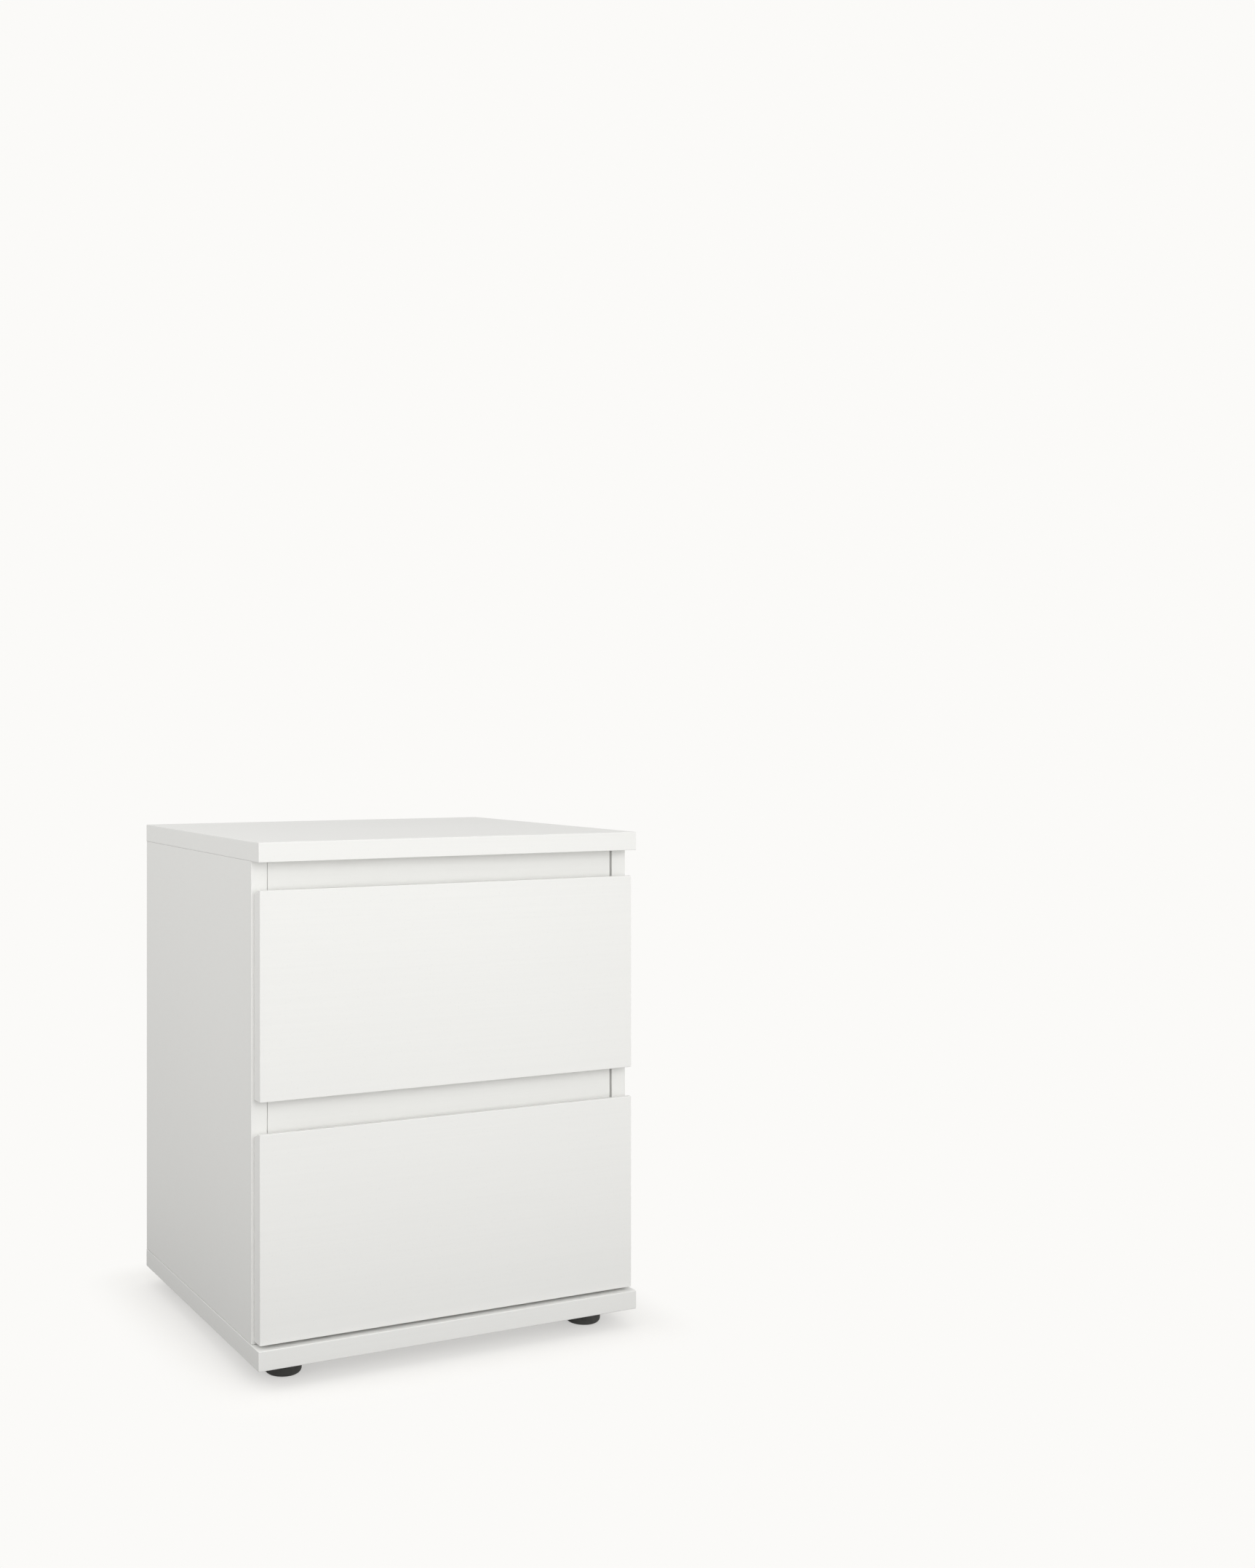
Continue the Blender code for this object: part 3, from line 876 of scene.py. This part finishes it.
class NIGHTSTAND_OT_drawer_boxes(bpy.types.Operator):
    """Make the sides, back and bottom of both drawers"""

    bl_idname = "nightstand.drawer_boxes"
    bl_label = "Drawer boxes"

    def execute(self, context):
        for word in DRAWERS:
            body = f"{word}_drawer"
            groove = grown(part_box(f"{word}_drawer_bottom"), GAP)
            for side in SIDES:
                node = f"{word}_drawer_side_{side}"
                low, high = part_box(node)
                rod = pocket(f"{word}_drawer_cam_lock_{side}")
                made = board(low, high, X, boxes=[groove], rods=[rod])
                piece(f"visual_{node}", made, BOARD, body, [node])
            node = f"{word}_drawer_back"
            made = board(*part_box(node), Y)
            piece(f"visual_{node}", made, BOARD, body, [node])
            hardboard(f"{word}_drawer_bottom", body)
        return {"FINISHED"}


def bent_sheet(outline, start_y, end_y, round_edge=0.00025):
    """Bent sheet steel along Y, from an outline in X and Z at the middle of the sheet."""
    fitting = settings().fitting
    corners = [Vector(point) for point in outline]
    line = [corners[0]]
    for before, corner, after in zip(corners, corners[1:], corners[2:]):
        line += rounded(corner, fitting.bend, before - corner, after - corner)
    line.append(corners[-1])
    bm = bmesh.new()
    verts = [bm.verts.new((x, start_y, z)) for x, z in line]
    edges = [bm.edges.new(pair) for pair in zip(verts, verts[1:])]
    drawn = bmesh.ops.extrude_edge_only(bm, edges=edges)["geom"]
    moved = [element for element in drawn if isinstance(element, bmesh.types.BMVert)]
    bmesh.ops.translate(bm, verts=moved, vec=(0, end_y - start_y, 0))
    bmesh.ops.recalc_face_normals(bm, faces=bm.faces)
    bm.normal_update()
    for vert in bm.verts:
        vert.co += vert.normal * fitting.sheet / 2
    bmesh.ops.solidify(bm, geom=bm.faces[:], thickness=fitting.sheet)
    bmesh.ops.recalc_face_normals(bm, faces=bm.faces)
    rims = [edge for edge in bm.edges if edge.calc_face_angle(0) > math.radians(80)]
    soften(bm, round_edge, 2, rims)
    return bm


def add_axle(bm, start, along, length):
    """A roller's axle with its riveted head."""
    pin, head, height = 0.0018, 0.0032, 0.0006
    profile = [(0, 0), (0, pin), (length, pin), (length, head - 0.0002), (length + 0.0002, head)]
    profile += [(length + 0.0004, head - 0.0002), (length + height, 0.0020), (length + height, 0)]
    add_turned(bm, profile, start, along, 32)


def add_pan_head(bm, place, inward, radius):
    """A pan-head screw's head on a face, with a cross recess."""
    height, upright, crown, steps = 0.0009, 0.45, 0.30, 4
    profile = [(0.0001, 0), (0.0001, radius), (-height * upright, radius)]
    for step in range(1, steps + 1):
        turn = step / steps * math.pi / 2
        rise = upright + (1 - upright) * math.sin(turn)
        share = 1 - crown * (1 - math.cos(turn))
        profile.append((-height * rise, radius * share - 0.0002 * step))
    profile.append((-height, 0))
    head = bmesh.new()
    add_turned(head, profile, place, inward, 28)
    recess = (place - inward * 0.002, place - inward * 0.0003)
    head = with_cross(head, *recess, inward.orthogonal().normalized(), radius * 0.52, radius * 0.13)
    mesh = bpy.data.meshes.new("head")
    head.to_mesh(mesh)
    head.free()
    bm.from_mesh(mesh)
    bpy.data.meshes.remove(mesh)


class NIGHTSTAND_OT_runners(bpy.types.Operator):
    """Make the steel runners of both drawers, with their axles"""

    bl_idname = "nightstand.runners"
    bl_label = "Runners"

    def execute(self, context):
        half = settings().fitting.sheet / 2
        for word in DRAWERS:
            for side, sign in SIDES.items():
                self.fixed_runner(word, side, sign, half)
                self.drawer_runner(word, side, sign, half)
        return {"FINISHED"}

    def fixed_runner(self, word, side, sign, half):
        """A channel that is open towards the drawer. Its lips end short of the axle's head."""
        node = f"fixed_runner_{word}_{side}"
        low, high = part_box(node)
        web, lip = (low.x, high.x) if sign < 0 else (high.x, low.x)
        web -= sign * half
        shortfall = 0.0005
        lip += sign * shortfall
        floor, ceiling = low.z + half, high.z - half
        bm = bent_sheet([(lip, floor), (web, floor), (web, ceiling), (lip, ceiling)], low.y, high.y)
        axle, roller_half, _ = roller_size(f"fixed_roller_{word}_{side}")
        length = abs(web - (axle.x - sign * roller_half)) + GAP
        add_axle(bm, Vector((web, axle.y, axle.z)), -X * sign, length)
        piece(f"visual_{node}", bm, [powder_coat], "carcass", [node])

    def drawer_runner(self, word, side, sign, half):
        """A sheet from under the drawer side, up beside it, and out over the rollers."""
        node = f"{word}_drawer_runner_{side}"
        low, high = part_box(node)
        side_low, side_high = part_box(f"{word}_drawer_side_{side}")
        outer = side_high.x if sign > 0 else side_low.x
        web = outer + sign * (GAP + half)
        inner = low.x if sign > 0 else high.x
        clearance = 0.003
        track = sign * (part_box("side_panel_right")[0].x - clearance)
        foot, ceiling = side_low.z - GAP - half, high.z - half
        outline = [(inner, foot), (web, foot), (web, ceiling), (track, ceiling)]
        bm = bent_sheet(outline, low.y, high.y)
        axle, roller_half, _ = roller_size(f"{word}_drawer_roller_{side}")
        length = abs(web - (axle.x + sign * roller_half)) + GAP
        add_axle(bm, Vector((web, axle.y, axle.z)), X * sign, length)
        piece(f"visual_{node}", bm, [powder_coat], f"{word}_drawer", [node])


def roller_size(node):
    """Middle, half width and radius of a roller."""
    low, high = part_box(node)
    return (low + high) / 2, (high.x - low.x) / 2, (high.z - low.z) / 2


class NIGHTSTAND_OT_rollers(bpy.types.Operator):
    """Make the nylon rollers, each on its own body"""

    bl_idname = "nightstand.rollers"
    bl_label = "Rollers"

    def execute(self, context):
        for word in DRAWERS:
            for side in SIDES:
                for node in (f"fixed_roller_{word}_{side}", f"{word}_drawer_roller_{side}"):
                    bm = bmesh.new()
                    add_roller(bm, *roller_size(node))
                    piece(f"visual_{node}", bm, [nylon], node, [node])
        return {"FINISHED"}


def add_roller(bm, middle, half, radius):
    """A roller with a rounded tread, a dished face on both sides, and a bore."""
    bore, hub, dish = 0.0021, 0.0040, 0.0009
    face = [
        (half, bore),
        (half, hub),
        (half - dish, hub + 0.0004),
        (half - dish, radius - 0.0018),
        (half, radius - 0.0013),
        (half, radius - 0.0005),
        (half - 0.0002, radius - 0.00015),
        (half - 0.0006, radius),
    ]
    profile = face + [(-along, r) for along, r in reversed(face)] + [face[0]]
    add_turned(bm, profile, middle, X, 48)


class NIGHTSTAND_OT_fasteners(bpy.types.Operator):
    """Make the cam locks, cam bolts and long screws"""

    bl_idname = "nightstand.fasteners"
    bl_label = "Cam locks, bolts and screws"

    def execute(self, context):
        for corner in corner_names():
            sign = SIDES[corner.split("_")[1]]
            lock(f"top_cam_lock_{corner}", X * sign, Z, "carcass")
            bolt(f"top_cam_bolt_{corner}", -Z, "carcass")
            long_screw(f"bottom_screw_{corner}", "carcass")
        for word in DRAWERS:
            for side, sign in SIDES.items():
                body = f"{word}_drawer"
                lock(f"{body}_cam_lock_{side}", -X * sign, -Y, body)
                bolt(f"{body}_cam_bolt_{side}", Y, body)
        return {"FINISHED"}


def lock(node, inward, towards_bolt, body):
    """A cam lock: a drum with a ring pressed into its face, and a cross for the screwdriver."""
    low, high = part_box(node)
    middle, size = (low + high) / 2, high - low
    depth, radius = size.x, size.z / 2
    face = middle - inward * depth / 2
    ring, chamfer = 0.0003, 0.0004
    profile = [(0, 0), (0, radius * 0.62), (ring, radius * 0.66), (ring, radius * 0.72)]
    profile += [(0, radius * 0.76), (0, radius - 0.0005)]
    profile += [(0.0002, radius - 0.00015), (0.0006, radius)]
    profile += [(depth - chamfer, radius), (depth, radius - chamfer), (depth, 0)]
    bm = bmesh.new()
    add_turned(bm, profile, face, inward, 48)
    recess = (face - inward * 0.001, face + inward * 0.0015)
    bm = with_cross(bm, *recess, towards_bolt, radius * 0.50, radius * 0.10)
    piece(f"visual_{node}", bm, [zinc_plate], body, [node])


def bolt(node, along, body):
    """A cam bolt: thread, collar, shank and head, along its own box."""
    low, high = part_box(node)
    middle, size = (low + high) / 2, high - low
    length = max(size)
    start = middle - along * length / 2
    thread, turns = 0.0105, 8
    core, shank, collar, neck, head = 0.0019, 0.0026, 0.0036, 0.0016, 0.0029
    profile = [(0, 0), (0, core - 0.0001)]
    for step in range(turns):
        at = 0.0005 + step * (thread - 0.0010) / turns
        profile += [(at, core), (at + 0.0006, shank)]
    profile += [(thread, 0.0022), (thread + 0.0004, collar), (thread + 0.0018, collar)]
    profile += [(thread + 0.0026, shank), (length - 0.0055, shank), (length - 0.0050, neck)]
    profile += [(length - 0.0025, neck), (length - 0.0022, head), (length - 0.0006, head)]
    profile += [(length, 0.0022), (length, 0)]
    bm = bmesh.new()
    add_turned(bm, profile, start, along, 28)
    piece(f"visual_{node}", bm, [zinc_plate], body, [node])


def long_screw(node, body):
    """A connecting screw, seen from below: a flat head with a six-sided socket."""
    low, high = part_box(node)
    place = Vector(((low.x + high.x) / 2, (low.y + high.y) / 2, low.z))
    length = high.z - low.z
    radius = (high.x - low.x) / 2
    neck, core, crest, tip, turns = 0.0080, 0.0021, 0.0027, 0.0030, 14
    profile = [(0, 0), (0, radius - 0.0004), (0.0003, radius), (0.0020, radius), (0.0050, crest)]
    for step in range(turns):
        at = neck + step * (length - neck - 0.0050) / turns
        profile += [(at, core), (at + 0.0009, crest)]
    profile += [(length - tip, core + 0.0001), (length, 0)]
    bm = bmesh.new()
    add_turned(bm, profile, place, Z, 28)
    outside, depth, width = -0.001, 0.0024, 0.0023
    socket = bmesh.new()
    outline = [(outside, 0), (outside, width), (depth, width), (depth, 0)]
    add_turned(socket, outline, place, Z, 6)
    piece(f"visual_{node}", carved(bm, socket), [zinc_plate], body, [node])


class NIGHTSTAND_OT_screw_heads(bpy.types.Operator):
    """Make the heads of the runners' screws and of the screws in the drawer backs"""

    bl_idname = "nightstand.screw_heads"
    bl_label = "Screw heads"

    def execute(self, context):
        for word in DRAWERS:
            for side, sign in SIDES.items():
                self.runner_screws(word, side, sign)
                self.back_screws(word, side, sign)
        return {"FINISHED"}

    def runner_screws(self, word, side, sign):
        """Three heads along a fixed runner, at its roller's height."""
        fitting = settings().fitting
        low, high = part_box(f"fixed_runner_{word}_{side}")
        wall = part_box("side_panel_right")[0].x * sign
        height = roller_size(f"fixed_roller_{word}_{side}")[0].z
        bm = bmesh.new()
        for share in (0.16, 0.52, 0.88):
            y = low.y + (high.y - low.y) * share
            place = Vector((wall - sign * (GAP + fitting.sheet), y, height))
            add_pan_head(bm, place, X * sign, fitting.screw_head)
        piece(f"fixed_runner_screws_{word}_{side}", bm, [zinc_plate], "carcass")

    def back_screws(self, word, side, sign):
        """Two heads on a drawer side, where its back is fixed."""
        body = f"{word}_drawer"
        low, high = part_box(f"{body}_side_{side}")
        outer = high.x if sign > 0 else low.x
        back_low, back_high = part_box(f"{body}_back")
        bm = bmesh.new()
        for share in (0.38, 0.84):
            z = low.z + (high.z - low.z) * share
            place = Vector((outer, (back_low.y + back_high.y) / 2, z))
            add_pan_head(bm, place, -X * sign, settings().fitting.screw_head)
        piece(f"{body}_back_screws_{side}", bm, [zinc_plate], body)


# Power in watts, diameter, place and target of each lamp.
LAMPS = {
    "front_lamp": (7.3, 1.2, (-0.3, -1.9, 0.7), (0, -0.17, 0.3)),
    "high_lamp": (2.7, 1.2, (-0.3, -1.9, 1.25), (0, -0.17, 0.3)),
    "near_lamp": (1.5, 0.7, (0.1, -1.05, 0.6), (0, -0.17, 0.45)),
    "left_lamp": (2.0, 0.7, (-1.1, 0.0, 1.0), (-0.2, 0, 0.4)),
    "right_lamp": (0.4, 1.2, (1.5, -1.0, 1.3), (0, -0.17, 0.3)),
}


class NIGHTSTAND_OT_stage(bpy.types.Operator):
    """Make the floor, the lights and the camera"""

    bl_idname = "nightstand.stage"
    bl_label = "Floor, lights and camera"

    def execute(self, context):
        studio = settings().studio
        scene = context.scene
        scene.view_settings.view_transform = "Standard"
        scene.view_settings.look = "None"
        self.floor(studio)
        self.room(scene, studio)
        for name, (power, size, place, target) in LAMPS.items():
            lamp(name, power * studio.power, size, place, target)
        self.camera(scene, studio)
        return {"FINISHED"}

    def camera(self, scene, studio):
        """The camera, level, with its lens shifted."""
        camera = bpy.data.cameras.new("camera")
        camera.lens = studio.lens
        camera.sensor_width = 36
        camera.shift_x, camera.shift_y = studio.lens_shift
        camera.clip_start = 0.05
        made = bpy.data.objects.new("camera", camera)
        made.location = studio.camera_place
        made.rotation_euler = studio.camera_turn
        scene.collection.objects.link(made)
        scene.camera = made

    def floor(self, studio):
        """A wide floor that takes shadows near the nightstand, with painted shade there in the
        colour it bounces. Further out it is even backdrop.
        """
        bm = bmesh.new()
        bmesh.ops.create_circle(bm, cap_ends=True, segments=96, radius=40)
        mesh = bpy.data.meshes.new("floor")
        bm.to_mesh(mesh)
        bm.free()
        surface = Surface("floor_paint", roughness=0.9, specular_ior_level=0.1)
        colour = tuple(studio.backdrop)
        shade_reach = 0.45
        place = surface.node("ShaderNodeTexCoord", output="Object")
        outside = surface.vector("ABSOLUTE", place)
        outside = surface.vector("SUBTRACT", outside, (*CAD_BOX[1].xy, 0))
        outside = surface.vector("MAXIMUM", outside, (0, 0, 0))
        away = surface.vector("LENGTH", outside, output="Value")
        # Painted shade: close to the nightstand, the floor's colour for bounced light and its glow
        # are darkened to bounce_near of the bounce, fading out by shade_reach.
        painted_floor_shade = shaded(colour, studio.bounce * studio.bounce_near)
        open_floor = surface.spread(away, 0.0, shade_reach)
        bounced = surface.blend(open_floor, painted_floor_shade, shaded(colour, studio.bounce))
        seen = surface.node("ShaderNodeLightPath", output="Is Camera Ray")
        painted = surface.blend(seen, bounced, colour)
        surface.feed(surface.shader.inputs["Base Color"], painted)
        far = surface.spread(away, studio.shadow_reach * 0.2, studio.shadow_reach)
        far = far * studio.shadow_depth + (1 - studio.shadow_depth)
        glow = surface.node("ShaderNodeEmission", inputs={"Color": painted, "Strength": 1.0})
        near = Value(surface, surface.shader.outputs[0])
        mixed = surface.node("ShaderNodeMixShader", inputs={0: far, 1: near, 2: glow})
        surface.feed(surface.tree.nodes["Material Output"].inputs["Surface"], mixed)
        mesh.materials.append(surface.material)
        made = bpy.data.objects.new("floor", mesh)
        bpy.context.scene.collection.objects.link(made)

    def room(self, scene, studio):
        """Even light from all round. Past the floor the camera sees the backdrop's colour."""
        world = bpy.data.worlds.new("room")
        scene.world = world
        world.use_nodes = True
        tree = world.node_tree
        light = tree.nodes["Background"]
        light.inputs["Color"].default_value = (1.0, 0.995, 0.985, 1)
        light.inputs["Strength"].default_value = studio.ambient
        seen = tree.nodes.new("ShaderNodeBackground")
        seen.inputs["Color"].default_value = (*studio.backdrop, 1)
        path = tree.nodes.new("ShaderNodeLightPath")
        mix = tree.nodes.new("ShaderNodeMixShader")
        tree.links.new(path.outputs["Is Camera Ray"], mix.inputs[0])
        tree.links.new(light.outputs[0], mix.inputs[1])
        tree.links.new(seen.outputs[0], mix.inputs[2])
        tree.links.new(mix.outputs[0], tree.nodes["World Output"].inputs["Surface"])


def lamp(name, power, size, place, target):
    """A large soft lamp that points at a target."""
    data = bpy.data.lights.new(name, "AREA")
    data.shape = "DISK"
    data.size = size
    data.energy = power
    made = bpy.data.objects.new(name, data)
    made.visible_camera = False
    made.location = place
    made.rotation_euler = (Vector(target) - Vector(place)).to_track_quat("-Z", "Y").to_euler()
    bpy.context.scene.collection.objects.link(made)


OPERATORS = (
    NIGHTSTAND_OT_cap_panels,
    NIGHTSTAND_OT_side_panels,
    NIGHTSTAND_OT_rails,
    NIGHTSTAND_OT_back_panel,
    NIGHTSTAND_OT_feet,
    NIGHTSTAND_OT_drawer_fronts,
    NIGHTSTAND_OT_drawer_boxes,
    NIGHTSTAND_OT_runners,
    NIGHTSTAND_OT_rollers,
    NIGHTSTAND_OT_fasteners,
    NIGHTSTAND_OT_screw_heads,
    NIGHTSTAND_OT_stage,
)


class NIGHTSTAND_PT_build(bpy.types.Panel):
    bl_idname = "NIGHTSTAND_PT_build"
    bl_label = "Nightstand"
    bl_space_type = "VIEW_3D"
    bl_region_type = "UI"
    bl_category = "Nightstand"

    def draw(self, context):
        column = self.layout.column()
        for group in SETTINGS:
            values = getattr(context.scene.nightstand, group)
            box = column.box()
            for name in values.__annotations__:
                box.prop(values, name)
        for made in OPERATORS:
            column.operator(made.bl_idname)


CLASSES = (*SETTINGS.values(), NightstandSettings, *OPERATORS, NIGHTSTAND_PT_build)


def register():
    for made in CLASSES:
        bpy.utils.register_class(made)
    bpy.types.Scene.nightstand = PointerProperty(type=NightstandSettings)


def unregister():
    del bpy.types.Scene.nightstand
    for made in reversed(CLASSES):
        bpy.utils.unregister_class(made)


def main():
    register()
    for made in OPERATORS:
        group, name = made.bl_idname.split(".")
        getattr(getattr(bpy.ops, group), name)()


if __name__ == "__main__":
    main()
